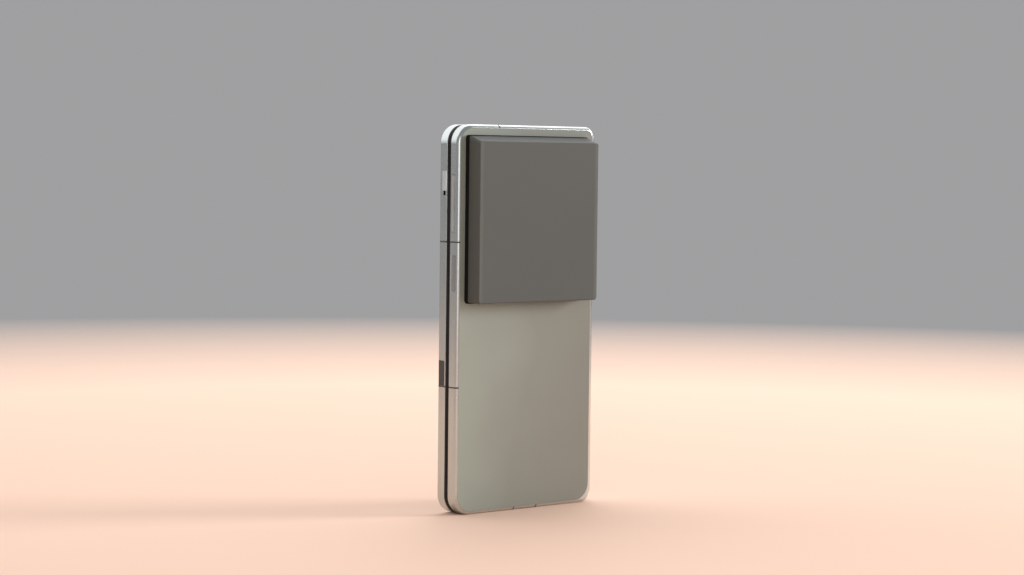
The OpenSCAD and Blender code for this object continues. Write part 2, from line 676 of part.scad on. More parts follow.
module antenna_window() color([0.33, 0.33, 0.33]) display_side() intersection() {
  display_frame_solid();
  window_place();
}
module cover_glass() color([0.03, 0.03, 0.04]) display_side()
  slab(open_x + glass_rim + seat_gap, hinge_x - glass_rim - seat_gap, glass_rim + seat_gap,
    folded_height - glass_rim - seat_gap, glass_seat, half_thickness,
    corner_radius - glass_rim - seat_gap, hinge_corner_radius - glass_rim - seat_gap);
module cover_screen() color([0.02, 0.02, 0.03]) display_side() difference() {
  slab(cavity_x0 + seat_gap, cover_screen_x1, cavity_h0 + seat_gap, cavity_h1 - seat_gap,
    cover_screen_seat, glass_seat, cavity_corner - seat_gap, 0.8);
  pin(half_middle, front_camera_h, 0, half_thickness, front_camera_radius + key_gap);
}
module display_bezel() color([0.06, 0.06, 0.065]) display_side() bezel_ring();
module display_screen_plate() color([0.5, 0.5, 0.5]) display_side() flat_screen(screen_back, stack_back);
module inner_screen_display_side() color([0.02, 0.02, 0.025]) display_side()
  flat_screen(screen_gap, screen_back);
display_board_height = 46;
display_board_h0 = cavity_h1 - inside_gap - display_board_height;
reader_h1 = cavity_h0 + inside_gap + tray_length + 1;
module display_battery() color([0.12, 0.12, 0.13]) display_side()
  slab(cavity_x0 + inside_gap, battery_x1, reader_h1 + battery_gap, display_board_h0 - battery_gap,
    plate_back, cover_screen_seat - 0.25, 1, 1);
module display_board() color([0.05, 0.25, 0.16]) display_side() difference() {
  slab(cavity_x0 + inside_gap + 2.5, cavity_x1 - inside_gap, display_board_h0, cavity_h1 - inside_gap,
    plate_back, board_face, cavity_corner - inside_gap, 0.8);
  pin(half_middle, front_camera_h, 0, half_thickness, front_camera_radius + 1.6);
  box(half_middle - earpiece_width / 2 - 1.2, half_middle + earpiece_width / 2 + 1.2,
    cavity_h1 - earpiece_height - 0.3, cavity_h1, 0, half_thickness);
}
module front_camera() color([0.1, 0.1, 0.11]) display_side() {
  pin(half_middle, front_camera_h, cover_screen_seat - 0.1, glass_seat - 0.05, front_camera_radius);
  pin(half_middle, front_camera_h, plate_back, cover_screen_seat - 0.1, front_camera_radius + 1.3);
}
module earpiece() color([0.1, 0.1, 0.1]) display_side()
  slab(half_middle - earpiece_width / 2 - 1, half_middle + earpiece_width / 2 + 1, cavity_h1 - earpiece_height,
    cavity_h1 - seat_gap, plate_back, cover_screen_seat - 0.15, 0.5, 0.5);
module alert_slider() color([0.8, 0.8, 0.79]) display_side() {
  slider_h0 = slider_top - slider_length;
  slab(open_x - slider_proud, open_x - 0.05, slider_h0, slider_top,
    slider_depth - slider_width / 2, slider_depth + slider_width / 2);
  slab(open_x - 0.05, cavity_x0 + 0.15, slider_h0 + 0.7, slider_top - 0.7,
    slider_depth - slot_width / 2 + key_gap, slider_depth + slot_width / 2 - key_gap);
  slab(cavity_x0 + 0.15, cavity_x0 + 0.75, slider_h0 + 1.5, slider_top - 1.5,
    max(slider_depth - 1.2, plate_back + key_gap), slider_depth + 1.2);
}
module slider_switch() color([0.2, 0.2, 0.21]) display_side()
  box(cavity_x0 + 0.85, cavity_x0 + 2.3, slider_top - slider_length - slider_travel - 0.5, slider_top + 0.5,
    plate_back, slider_depth + 1.2);
module sim_tray() color([0.62, 0.62, 0.61]) display_side() {
  translate([0, 0, tray_depth]) rotate([-90, 0, 0]) translate([0, 0, 0.1])
    linear_extrude(1.3) tray_section(tray_face_width, tray_face_thickness, 0);
  difference() {
    box(tray_x - tray_width / 2, tray_x + tray_width / 2, 1.4, tray_length, tray_depth - tray_thickness / 2,
      tray_depth + tray_thickness / 2);
    box(tray_x - 4.4, tray_x + 4.4, 3.4, tray_length - 1,
      tray_depth - tray_thickness / 2 + 0.25, tray_depth + past);
  }
}
module sim_reader() color([0.7, 0.7, 0.68]) display_side() difference() {
  box(tray_x - tray_width / 2 - 0.6, tray_x + tray_width / 2 + 0.6, cavity_h0 + seat_gap, reader_h1, plate_back,
    tray_depth + tray_thickness / 2 + 0.4);
  box(tray_x - tray_width / 2 - key_gap, tray_x + tray_width / 2 + key_gap, 0, tray_length + 0.2,
    tray_depth - tray_thickness / 2 - key_gap, tray_depth + tray_thickness / 2 + key_gap);
}

// Section of the spine, cut off on its screen side
module spine_section(radius, front) difference() {
  union() {
    for (side = [-1, 1]) translate([pivot_x, side * pivot_offset]) circle(radius);
    translate([pivot_x, -pivot_offset]) square([radius, 2 * pivot_offset]);
  }
  translate([pivot_x - 2 * radius, -2 * radius - pivot_offset])
    square([front - pivot_x + 2 * radius, 4 * radius + 2 * pivot_offset]);
}
module raised(z0, z1) translate([0, 0, z0]) linear_extrude(z1 - z0) children();
module spine_cover() color([0.6, 0.6, 0.59]) in_spine()
  raised(spine_end + end_cap_height, folded_height - spine_end - end_cap_height) difference() {
    spine_section(spine_radius, spine_front);
    spine_section(spine_inner, spine_front - past);
  }
module end_cap() {
  rounding = 3.2;
  difference() {
    union() {
      for (side = [-1, 1]) translate([pivot_x, side * pivot_offset, 0])
        rotate(side > 0 ? 0 : -90) rotate_extrude(angle = 90) cap_section(rounding);
      translate([pivot_x, pivot_offset, 0]) rotate([90, 0, 0])
        linear_extrude(2 * pivot_offset) cap_section(rounding);
    }
    translate([pivot_x - past, -half_thickness, -past])
      cube([spine_front - pivot_x + past, folded_thickness, end_cap_height + 2 * past]);
  }
}
module cap_section(rounding) difference() {
  square([spine_radius, end_cap_height]);
  corner_cut(spine_radius, 0, rounding, 90);
}
module spine_end_caps() color([0.6, 0.6, 0.59]) in_spine() {
  translate([0, 0, spine_end]) end_cap();
  translate([0, 0, folded_height - spine_end]) mirror([0, 0, 1]) end_cap();
}

// Bracket of the camera side, drawn in the spine's frame with the phone shut
module rack_tooth_gap(turn) {
  middle = PI * gear_module / 4 * (1 + backlash);
  root = (rack_radius + dedendum * gear_module);
  tip = arc_inner - 0.2;
  root_half = middle - dedendum * gear_module * tan(pressure_angle);
  tip_half = middle + (rack_radius - tip) * tan(pressure_angle);
  polygon([
    for (p = [[tip, -tip_half], [root, -root_half], [root, root_half], [tip, tip_half]])
      [p[0] * cos(turn + p[1] / p[0] * 180 / PI), p[0] * sin(turn + p[1] / p[0] * 180 / PI)]
  ]);
}
module sector(radius, from, to) {
  middle = (from + to) / 2;
  polygon([[0, 0], for (turn = [from, (from + middle) / 2, middle, (middle + to) / 2, to])
    2 * radius * [cos(turn), sin(turn)]]);
}
module arc_tongue(rack_phase) difference() {
  circle(arc_outer);
  circle(arc_inner);
  difference() {
    circle(arc_outer + past);
    sector(arc_outer + past, arc_start, arc_end);
  }
  for (i = [0 : rack_teeth - 1])
    if (i * 360 / rack_teeth < 126) rack_tooth_gap(rack_phase - i * 360 / rack_teeth);
}
first_gap = floor((arc_end - contact_angle) / (360 / rack_teeth)) * 360 / rack_teeth;
function rack_phase(tooth) = contact_angle + (tooth - contact_angle) / gear_ratio + first_gap;
module bracket(z, rack_z, tooth) {
  translate([0, 0, z + rack_z + axial_gap]) linear_extrude(rack_height - 2 * axial_gap)
    translate([pivot_x, -pivot_offset]) arc_tongue(rack_phase(tooth));
  translate([pad_x1 - 1, -neck_back, z + rack_z + axial_gap])
    cube([pivot_x - rack_radius * cos(180 + arc_start) - pad_x1 + 1, bracket_neck,
      rack_height - 2 * axial_gap]);
  difference() {
    translate([pad_x0, -pad_back, z]) cube([pad_x1 - pad_x0 - 0.3, bracket_pad, unit_height]);
    rotate([90, 0, 0]) screw_places(z) {
      pin(screw_x, 0, 0, half_thickness, screw_radius + seat_gap);
      pin(screw_x, 0, 0, pad_back - screw_head, screw_head_radius + seat_gap);
    }
  }
}
camera_tooth = 0;
display_tooth = -180 / gear_teeth;
module camera_hinge_brackets() color([0.5, 0.5, 0.52]) in_spine() for (z = unit_z)
  bracket(z, camera_rack_z, camera_tooth);
module display_hinge_brackets() color([0.5, 0.5, 0.52]) in_spine() mirror([0, 1, 0]) for (z = unit_z)
  bracket(z, display_rack_z, display_tooth);
module bracket_screws() for (z = unit_z) screw_places(z) {
  pin(screw_x, 0, pad_back - screw_head - screw_head + 0.05, pad_back - screw_head, screw_head_radius);
  pin(screw_x, 0, pad_back - screw_head, pad_back - screw_head + screw_length, screw_radius);
}
module bracket_screws_camera() color([0.35, 0.35, 0.36]) camera_side() bracket_screws();
module bracket_screws_display() color([0.35, 0.35, 0.36]) display_side() bracket_screws();

// Base block of a hinge unit
module at_gears(ys) for (y = ys) translate([gear_x, y]) children();
module base_section() spine_section(spine_inner - seat_gap, spine_front);
module core_section(side) difference() {
  intersection() {
    base_section();
    translate([pivot_x, side * pivot_offset]) circle(arc_inner - 0.08);
  }
  at_gears([side * outer_gear_y]) circle(gear_room);
}
module shaft_holes(ys) at_gears(ys) circle(shaft_radius + 0.01);
module hinge_base(z) translate([0, 0, z]) {
  raised(0, camera_rack_z) difference() {
    base_section();
    shaft_holes([-outer_gear_y]);
  }
  raised(camera_rack_z, lower_web_z) core_section(-1);
  raised(lower_web_z, train_z) difference() {
    base_section();
    at_gears([-outer_gear_y]) circle(gear_room);
    shaft_holes([-inner_gear_y, inner_gear_y, outer_gear_y]);
  }
  raised(train_z, upper_web_z) difference() {
    base_section();
    translate([pivot_x - past, -outer_gear_y - gear_room])
      square([gear_x - pivot_x + gear_room + past, 2 * (outer_gear_y + gear_room)]);
  }
  raised(upper_web_z, display_rack_z) difference() {
    base_section();
    at_gears([outer_gear_y]) circle(gear_room);
    shaft_holes([-outer_gear_y, -inner_gear_y, inner_gear_y]);
  }
  raised(display_rack_z, display_rack_z + rack_height) core_section(1);
  raised(display_rack_z + rack_height, unit_height) difference() {
    base_section();
    shaft_holes([outer_gear_y]);
  }
}
module hinge_bases() color([0.3, 0.3, 0.32]) in_spine() for (z = unit_z) hinge_base(z);
module shaft(y, z0, z1) translate([gear_x, y, z0]) cylinder(r = shaft_radius, h = z1 - z0, $fn = 32);
module gear_shafts() color([0.75, 0.75, 0.75]) in_spine() for (z = unit_z) translate([0, 0, z]) {
  shaft(-outer_gear_y, 0.2, display_rack_z);
  shaft(-inner_gear_y, lower_web_z, display_rack_z);
  shaft(inner_gear_y, lower_web_z, display_rack_z);
  shaft(outer_gear_y, lower_web_z, unit_height - 0.2);
}

// One small gear, with a tooth pointing at the given turn
module gear_section(turn) difference() {
  polygon([
    for (i = [0 : gear_teeth - 1], p = tooth_points())
      [p[0] * cos(turn + i * 360 / gear_teeth + p[1]), p[0] * sin(turn + i * 360 / gear_teeth + p[1])]
  ]);
  circle(shaft_radius + 0.03, $fn = 32);
}
function tooth_points() =
  let (middle = PI * gear_module / 4 * (1 - backlash),
    root = gear_radius - dedendum * gear_module,
    root_half = middle + dedendum * gear_module * tan(pressure_angle),
    tip_half = middle - addendum * gear_module * tan(pressure_angle))
  [for (p = [[root, -root_half], [gear_tip, -tip_half], [gear_tip, tip_half], [root, root_half]])
    [p[0], p[1] / p[0] * 180 / PI]];
module gears(y, turn, z0, z1) in_spine() for (z = unit_z)
  translate([gear_x, y, z + z0 + axial_gap]) linear_extrude(z1 - z0 - 2 * axial_gap) gear_section(turn);
half_tooth = 180 / gear_teeth;
module camera_outer_gears() color([0.7, 0.68, 0.6]) gears(-outer_gear_y, 0, camera_rack_z, upper_web_z);
module camera_inner_gears() color([0.7, 0.68, 0.6]) gears(-inner_gear_y, half_tooth, train_z, upper_web_z);
module display_inner_gears() color([0.7, 0.68, 0.6]) gears(inner_gear_y, 0, train_z, upper_web_z);
module display_outer_gears() color([0.7, 0.68, 0.6])
  gears(outer_gear_y, half_tooth, train_z, display_rack_z + rack_height);

// Beam between the two hinge units, behind the flexible cable
module hinge_beam() color([0.3, 0.3, 0.32]) in_spine()
  raised(unit_z[0] + unit_height, unit_z[1]) spine_section(spine_inner - seat_gap, cable_x1 + 0.3);
cable_x1 = pivot_x + cable_reach;

// A strip bent in a U through the hinge: x of its far face, depth of its outer face and bend radii
module bent_strip(x0, x1, y_out, thickness, radius) difference() {
  outline(x0, x1, -y_out, y_out, 0, radius);
  outline(x0 - past, x1 - thickness, -y_out + thickness, y_out - thickness, 0, radius - thickness);
}
module inner_screen_fold() color([0.02, 0.02, 0.025]) in_spine()
  raised(screen_h0, folded_height - screen_h0)
    bent_strip(fold_start, pivot_x + pivot_offset - screen_gap + 0.1, screen_back, screen_thickness,
      screen_thickness + 0.2);
module hinge_flex_cable() color([0.75, 0.45, 0.1]) in_spine()
  raised(cable_middle - cable_height / 2, cable_middle + cable_height / 2)
    bent_strip(cable_end, cable_x1, cable_depth, cable_thickness, 0.8);

module flex_connector() slab(cable_end, cable_end + 1.8, cable_middle - cable_height / 2 - 0.4,
  cable_middle + cable_height / 2 + 0.4, plate_back, cable_depth - cable_thickness, 0.3, 0.3);
module flex_connector_camera() color([0.1, 0.1, 0.1]) camera_side() flex_connector();
module flex_connector_display() color([0.1, 0.1, 0.1]) display_side() flex_connector();

camera_frame();
camera_frame_bands();
rear_cover();
camera_bezel();
camera_screen_plate();
inner_screen_camera_side();
main_board();
board_shields();
camera_battery();
sub_board();
usb_port();
bottom_speaker();
vibration_motor();
camera_island();
island_glass();
camera_modules();
camera_flash();
inner_selfie_camera();
camera_hinge_brackets();
volume_key();
power_key();
key_switches();
camera_cover();
cover_gasket();
display_frame();
display_frame_bands();
antenna_window();
cover_glass();
cover_screen();
display_bezel();
display_screen_plate();
inner_screen_display_side();
display_battery();
display_board();
front_camera();
earpiece();
display_hinge_brackets();
alert_slider();
slider_switch();
sim_tray();
sim_reader();
bracket_screws_camera();
bracket_screws_display();
spine_cover();
spine_end_caps();
hinge_bases();
gear_shafts();
hinge_beam();
camera_outer_gears();
camera_inner_gears();
display_inner_gears();
display_outer_gears();
inner_screen_fold();
hinge_flex_cable();
flex_connector_camera();
flex_connector_display();
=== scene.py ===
"""Looks of the folding phone: camera, floor, light, materials and the pieces that plain solids cannot show."""

import json
import math

import bmesh
import bpy
from mathutils import Matrix, Vector


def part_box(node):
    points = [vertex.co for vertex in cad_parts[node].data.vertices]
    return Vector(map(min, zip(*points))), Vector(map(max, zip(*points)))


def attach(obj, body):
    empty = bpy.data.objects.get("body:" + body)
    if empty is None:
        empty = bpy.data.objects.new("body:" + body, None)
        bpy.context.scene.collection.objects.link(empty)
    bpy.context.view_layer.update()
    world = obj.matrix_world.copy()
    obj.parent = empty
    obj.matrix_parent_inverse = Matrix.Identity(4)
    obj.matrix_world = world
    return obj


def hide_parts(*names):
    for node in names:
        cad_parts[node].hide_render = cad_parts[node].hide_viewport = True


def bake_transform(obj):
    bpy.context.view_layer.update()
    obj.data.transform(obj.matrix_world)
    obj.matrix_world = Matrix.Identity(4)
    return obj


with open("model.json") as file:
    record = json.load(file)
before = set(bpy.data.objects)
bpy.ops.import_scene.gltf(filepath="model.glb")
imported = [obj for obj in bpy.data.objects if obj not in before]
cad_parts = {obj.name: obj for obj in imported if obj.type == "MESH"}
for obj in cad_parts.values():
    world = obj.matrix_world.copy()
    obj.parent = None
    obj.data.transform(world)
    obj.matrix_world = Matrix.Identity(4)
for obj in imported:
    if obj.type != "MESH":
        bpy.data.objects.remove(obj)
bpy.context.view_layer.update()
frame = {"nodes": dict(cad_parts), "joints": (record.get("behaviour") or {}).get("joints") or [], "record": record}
nodes = frame["nodes"]

# Everything below is written in millimetres from the middle of the folded phone's bottom edge, on the fold plane
MM = 0.001
fold_joint = next(j for j in frame["joints"] if j["name"] == "spine_fold")
fold_y = (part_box("rear_cover")[0].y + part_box("cover_glass")[1].y) / 2 / MM
middle_x = (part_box("camera_frame")[0].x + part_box("spine_cover")[1].x) / 2 / MM


def at(x, y, z):
    """A point in metres in the frame, from millimetres across, out of the fold plane, and up."""
    return Vector(((x + middle_x) * MM, (y + fold_y) * MM, z * MM))


def local_box(node):
    """Lowest and highest corner of a node in this file's millimetres."""
    low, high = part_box(node)
    return [(p.x / MM - middle_x, p.y / MM - fold_y, p.z / MM) for p in (low, high)]


# ---------------------------------------------------------------- camera

SENSOR = 36.0
IMAGE_WIDTH = 1024
FOCAL_PIXELS = 2305.55
TURN, PITCH, ROLL = 0.6903, 0.05315, 0.01164
CAMERA_PLACE = (-591.46, -711.3, 137.79)
right = Vector((math.cos(TURN), -math.sin(TURN), 0))
forward = Vector((math.sin(TURN) * math.cos(PITCH), math.cos(TURN) * math.cos(PITCH), -math.sin(PITCH)))
up = right.cross(forward)
rolled_right = right * math.cos(ROLL) + up * math.sin(ROLL)
rolled_up = up * math.cos(ROLL) - right * math.sin(ROLL)
camera_data = bpy.data.cameras.new("camera")
camera_data.sensor_width = SENSOR
camera_data.lens = FOCAL_PIXELS / IMAGE_WIDTH * SENSOR
camera_data.clip_start, camera_data.clip_end = 0.02, 30
camera = bpy.data.objects.new("camera", camera_data)
bpy.context.scene.collection.objects.link(camera)
camera.matrix_world = Matrix.Translation(at(*CAMERA_PLACE)) @ Matrix(
    (rolled_right, rolled_up, -forward)
).transposed().to_4x4()
bpy.context.scene.camera = camera
bpy.context.scene.view_settings.view_transform = "Standard"


# ---------------------------------------------------------------- node helpers


class Shader:
    """Builds one procedural material. Its textures are placed in millimetres of the part itself."""

    def __init__(self, name, color, roughness, metallic=0.0, **sockets):
        self.material = bpy.data.materials.new(name)
        self.material.use_nodes = True
        self.tree = self.material.node_tree
        self.bsdf = self.tree.nodes["Principled BSDF"]
        self.material.diffuse_color = (*color, 1)
        self.set(**{"Base Color": (*color, 1), "Roughness": roughness, "Metallic": metallic})
        self.set(**{k.replace("_", " "): v for k, v in sockets.items()})
        coords = self.tree.nodes.new("ShaderNodeTexCoord")
        self.place = self.mapping(coords.outputs["Object"], 1 / MM)

    def set(self, **values):
        for name, value in values.items():
            self.bsdf.inputs[name].default_value = value

    def node(self, kind, inputs=(), **settings):
        made = self.tree.nodes.new(kind)
        for key, value in settings.items():
            setattr(made, key, value)
        for key, value in dict(inputs).items():
            if isinstance(value, bpy.types.NodeSocket):
                self.tree.links.new(value, made.inputs[key])
            else:
                made.inputs[key].default_value = value
        return made

    def mapping(self, vector, scale):
        scale = scale if hasattr(scale, "__len__") else (scale,) * 3
        return self.node("ShaderNodeMapping", {"Vector": vector, "Scale": scale}).outputs[0]

    def noise(self, scale, detail=3, rough=0.55, stretch=(1, 1, 1)):
        vector = self.mapping(self.place, stretch)
        return self.node(
            "ShaderNodeTexNoise", {"Vector": vector, "Scale": scale, "Detail": detail, "Roughness": rough}
        ).outputs[0]

    def ranged(self, value, low, high, to_low, to_high):
        return self.node(
            "ShaderNodeMapRange", {0: value, 1: low, 2: high, 3: to_low, 4: to_high}, clamp=True
        ).outputs[0]

    def math(self, operation, a, b=0.0):
        return self.node("ShaderNodeMath", {0: a, 1: b}, operation=operation).outputs[0]

    def mix(self, factor, a, b):
        made = self.node("ShaderNodeMix", data_type="RGBA")
        for index, value in ((0, factor), (6, a), (7, b)):
            if isinstance(value, bpy.types.NodeSocket):
                self.tree.links.new(value, made.inputs[index])
            else:
                made.inputs[index].default_value = value if index == 0 else (*value, 1)
        return made.outputs[2]

    def axis(self, name):
        return self.node("ShaderNodeSeparateXYZ", {0: self.place}).outputs[name]

    def distance(self, x, z):
        """Distance in millimetres from an upright line of sight through x, z."""
        flat = self.node("ShaderNodeVectorMath", {0: self.place, 1: (1, 0, 1)}, operation="MULTIPLY").outputs[0]
        return self.node(
            "ShaderNodeVectorMath", {0: flat, 1: (x + middle_x, 0, z)}, operation="DISTANCE"
        ).outputs["Value"]

    def edges(self, radius):
        """1 on rounded and sharp outer edges, 0 on open faces."""
        bevel = self.node("ShaderNodeBevel", {"Radius": radius * MM}, samples=4).outputs[0]
        plain = self.node("ShaderNodeNewGeometry").outputs["Normal"]
        dot = self.node("ShaderNodeVectorMath", {0: bevel, 1: plain}, operation="DOT_PRODUCT").outputs["Value"]
        return self.ranged(dot, 0.995, 0.85, 0.0, 1.0)

    def color(self, socket):
        self.tree.links.new(socket, self.bsdf.inputs["Base Color"])

    def rough(self, socket):
        self.tree.links.new(socket, self.bsdf.inputs["Roughness"])

    def bump(self, height, strength, depth):
        """depth is in millimetres."""
        made = self.node("ShaderNodeBump", {"Height": height, "Strength": strength, "Distance": depth * MM})
        self.tree.links.new(made.outputs[0], self.bsdf.inputs["Normal"])


def shade(color, factor):
    return tuple(c * factor for c in color)


# ---------------------------------------------------------------- materials


def blasted_metal(name, color, roughness, grain=9.0, edge_strength=0.5, edge=0.12, lift=1.18):
    """Bead-blasted and anodised metal: a fine even grain, faint clouds, and edges lifted to another tone as wear;
    a lift below 1 paints shade along the edges instead.
    """
    s = Shader(name, color, roughness, 1.0)
    clouds = s.noise(0.06, 2)
    grain_noise = s.noise(grain, 2, 0.6)
    tone = s.mix(s.ranged(clouds, 0.3, 0.7, 0, 1), shade(color, 0.97), shade(color, 1.03))
    # Edges take the lift tone: lighter as wear, and with a lift below 1, darker as painted shade.
    edge_tone_mask = s.math("MULTIPLY", s.edges(edge), s.ranged(s.noise(0.9, 4), 0.35, 0.7, edge_strength * 0.4, edge_strength))
    s.color(s.mix(edge_tone_mask, tone, shade(color, lift)))
    s.rough(s.ranged(grain_noise, 0.25, 0.75, roughness - 0.035, roughness + 0.045))
    s.bump(grain_noise, 0.12, 0.02)
    return s.material


def brushed_metal(name, color, roughness):
    """Metal with fine upright brush lines."""
    s = Shader(name, color, roughness, 1.0)
    lines = s.noise(1.2, 3, 0.7, (30, 30, 0.6))
    s.color(s.mix(s.ranged(lines, 0.3, 0.7, 0, 1), shade(color, 0.86), shade(color, 1.1)))
    s.rough(s.ranged(lines, 0.3, 0.7, roughness - 0.05, roughness + 0.08))
    s.bump(lines, 0.15, 0.02)
    return s.material


def plastic(name, color, roughness, grain=7.0, depth=0.012, strength=0.25, specular=0.5):
    """Moulded plastic with a fine spark-eroded grain and slightly polished edges."""
    s = Shader(name, color, roughness, Specular_IOR_Level=specular)
    grain_noise = s.noise(grain, 3, 0.6)
    clouds = s.noise(0.05, 2)
    tone = s.mix(s.ranged(clouds, 0.3, 0.7, 0, 1), shade(color, 0.97), shade(color, 1.03))
    edge_tone_mask = s.math("MULTIPLY", s.edges(0.2), s.ranged(s.noise(0.7, 4), 0.35, 0.7, 0.1, 0.35))
    s.color(s.mix(edge_tone_mask, tone, shade(color, 1.5)))
    s.rough(s.ranged(grain_noise, 0.25, 0.75, roughness - 0.05, roughness + 0.06))
    s.bump(grain_noise, strength, depth)
    return s.material


def gloss(name, color, roughness, ripple=0.02, **sockets):
    """A polished film or glass over black, with faint waviness and dust-fine haze."""
    s = Shader(name, color, roughness, **sockets)
    haze = s.noise(0.15, 4)
    s.color(s.mix(s.ranged(haze, 0.3, 0.7, 0, 1), shade(color, 0.9), shade(color, 1.15)))
    s.rough(s.ranged(s.noise(0.5, 3), 0.3, 0.7, roughness * 0.8, roughness * 1.25))
    s.bump(s.noise(0.25, 1), 0.03, ripple)
    return s.material


FRAME_METAL = (0.565, 0.6, 0.59)
LENS_TURNS, LENS_CIRCLE = (30, 150, 270), 11.0
metal_satin = blasted_metal("metal_satin", FRAME_METAL, 0.24)
metal_key = blasted_metal("metal_key", (0.6, 0.6, 0.6), 0.22)
# Painted shade: the volume key's edges are painted dark, standing in for the shadow in the gap around the key.
metal_rocker = blasted_metal("metal_rocker", (0.56, 0.575, 0.57), 0.36, edge_strength=1.6, edge=0.35, lift=0.25)
metal_slider = blasted_metal("metal_slider", (0.86, 0.86, 0.86), 0.3)
metal_sensor = blasted_metal("metal_sensor", (0.4, 0.4, 0.405), 0.3)
metal_spine = blasted_metal("metal_spine", FRAME_METAL, 0.2, grain=12)
metal_dark = blasted_metal("metal_dark", (0.1, 0.1, 0.103), 0.32)
steel = brushed_metal("steel", (0.55, 0.55, 0.56), 0.28)
steel_dark = brushed_metal("steel_dark", (0.22, 0.22, 0.23), 0.35)
plastic_band = plastic("plastic_band", (0.09, 0.09, 0.09), 0.5)
plastic_window = plastic("plastic_window", (0.055, 0.056, 0.055), 0.42)
plastic_black = plastic("plastic_black", (0.008, 0.008, 0.0088), 0.5, specular=0.25)
rubber = plastic("rubber", (0.007, 0.007, 0.007), 0.75, grain=4, depth=0.03, strength=0.4, specular=0.15)
screen_film = gloss("screen_film", (0.006, 0.006, 0.0075), 0.07, Coat_Weight=0.4, Coat_Roughness=0.03)
lens_barrel = plastic("lens_barrel", (0.012, 0.012, 0.013), 0.38, grain=10)
battery_wrap = gloss("battery_wrap", (0.055, 0.055, 0.06), 0.4, ripple=0.06)


def cover_shell():
    """Moulded plastic with a fine grain, a painted highlight on its face beside the upright edges, and painted
    shade darker towards the right.
    """
    color = (0.0795, 0.0835, 0.0755)
    s = Shader("plastic_cover", color, 0.58, Specular_IOR_Level=0.35)
    low, high = local_box("camera_cover")
    x = s.axis("X")
    away = s.math(
        "MINIMUM", s.math("SUBTRACT", x, low[0] + middle_x), s.math("SUBTRACT", high[0] + middle_x, x)
    )
    outward = s.node("ShaderNodeTexCoord").outputs["Normal"]
    facing = s.ranged(s.node("ShaderNodeSeparateXYZ", {0: outward}).outputs["Y"], -0.3, -0.9, 0, 1)
    # Painted highlight: a paler strip on the front face beside the left and right upright edges.
    painted_highlight_band = s.math("MULTIPLY", facing, s.ranged(away, 1.1, 2.3, 1, 0))
    painted_highlight_band = s.math("MULTIPLY", painted_highlight_band, s.ranged(s.noise(0.12, 3), 0.3, 0.7, 0.7, 1))
    # Painted shade: the face is painted darker from left to right.
    painted_shade_across = s.math("ADD", x, s.ranged(s.noise(0.05, 2), 0.3, 0.7, -9, 9))
    tone = s.mix(s.ranged(painted_shade_across, -34, 32, 0, 1), shade(color, 1.05), shade(color, 0.91))
    s.color(s.mix(painted_highlight_band, tone, shade(color, 1.38)))
    grain = s.noise(6, 3, 0.6)
    s.rough(s.ranged(grain, 0.25, 0.75, 0.53, 0.64))
    s.bump(grain, 0.25, 0.012)
    return s.material


def rear_panel():
    """Frosted glass over grey paint, shifting softly from green grey to brown grey, with painted shade darker to
    the right, and darker towards the bottom.
    """
    s = Shader("rear_panel", (0.27, 0.258, 0.228), 0.36, Coat_Weight=0.25, Coat_Roughness=0.22)
    # A real colour shift together with painted shade darker to the right; the tone also darkens towards the
    # bottom.
    painted_shade_across = s.math("ADD", s.axis("X"), s.ranged(s.noise(0.022, 2, 0.5), 0.3, 0.7, -8, 8))
    painted_shade_across = s.math("ADD", painted_shade_across, s.ranged(s.axis("Z"), 4, 52, 13, 0))
    tone = s.mix(s.ranged(painted_shade_across, -34, 0, 0, 1), (0.304, 0.335, 0.284), (0.23, 0.24, 0.204))
    tone = s.mix(s.ranged(painted_shade_across, -4, 36, 0, 1), tone, (0.2, 0.199, 0.168))
    frost = s.noise(14, 2, 0.5)
    edge_tone_mask = s.math("MULTIPLY", s.edges(0.1), 0.35)
    s.color(s.mix(edge_tone_mask, tone, (0.36, 0.35, 0.32)))
    s.rough(s.ranged(frost, 0.25, 0.75, 0.32, 0.4))
    s.bump(frost, 0.06, 0.01)
    return s.material


def circuit_board():
    """Green solder mask with a fine pattern of tracks."""
    s = Shader("circuit_board", (0.02, 0.11, 0.06), 0.35)
    brick = s.node(
        "ShaderNodeTexBrick",
        {"Vector": s.place, "Scale": 1.1, "Mortar Size": 0.06, "Brick Width": 1.7, "Row Height": 0.55},
    )
    traces = brick.outputs["Fac"]
    s.color(s.mix(traces, (0.016, 0.1, 0.055), (0.05, 0.2, 0.11)))
    s.rough(s.ranged(s.noise(1.5, 3), 0.3, 0.7, 0.28, 0.42))
    s.bump(traces, 0.4, 0.03)
    return s.material


def flex_film():
    """Amber film with copper tracks along it."""
    s = Shader("flex_film", (0.42, 0.2, 0.045), 0.3)
    tracks = s.node(
        "ShaderNodeTexWave", {"Vector": s.place, "Scale": 0.42, "Distortion": 0.0}, bands_direction="Z"
    ).outputs["Fac"]
    s.color(s.mix(s.ranged(tracks, 0.45, 0.55, 0, 1), (0.42, 0.2, 0.045), (0.3, 0.12, 0.03)))
    s.rough(s.ranged(s.noise(0.8, 3), 0.3, 0.7, 0.24, 0.36))
    s.bump(tracks, 0.3, 0.02)
    return s.material


def flash_lens():
    """Yellow phosphor behind a clear lens with fine rings."""
    s = Shader("flash_lens", (0.78, 0.72, 0.5), 0.25, Coat_Weight=0.6, Coat_Roughness=0.05)
    low, high = local_box("camera_flash")
    away = s.distance((low[0] + high[0]) / 2, (low[2] + high[2]) / 2)
    rings = s.math("SINE", s.math("MULTIPLY", away, 22.0))
    s.color(s.mix(s.ranged(away, 0.3, 1.2, 0, 1), (0.85, 0.7, 0.25), (0.8, 0.78, 0.66)))
    s.rough(s.ranged(s.noise(2, 3), 0.3, 0.7, 0.2, 0.3))
    s.bump(rings, 0.5, 0.04)
    return s.material


def painted_ring(s, away, inner, outer, soft=0.06):
    """1 between two radii, from a distance in millimetres."""
    rise = s.ranged(away, inner - soft, inner, 0, 1)
    return s.math("MULTIPLY", rise, s.ranged(away, outer, outer + soft, 1, 0))


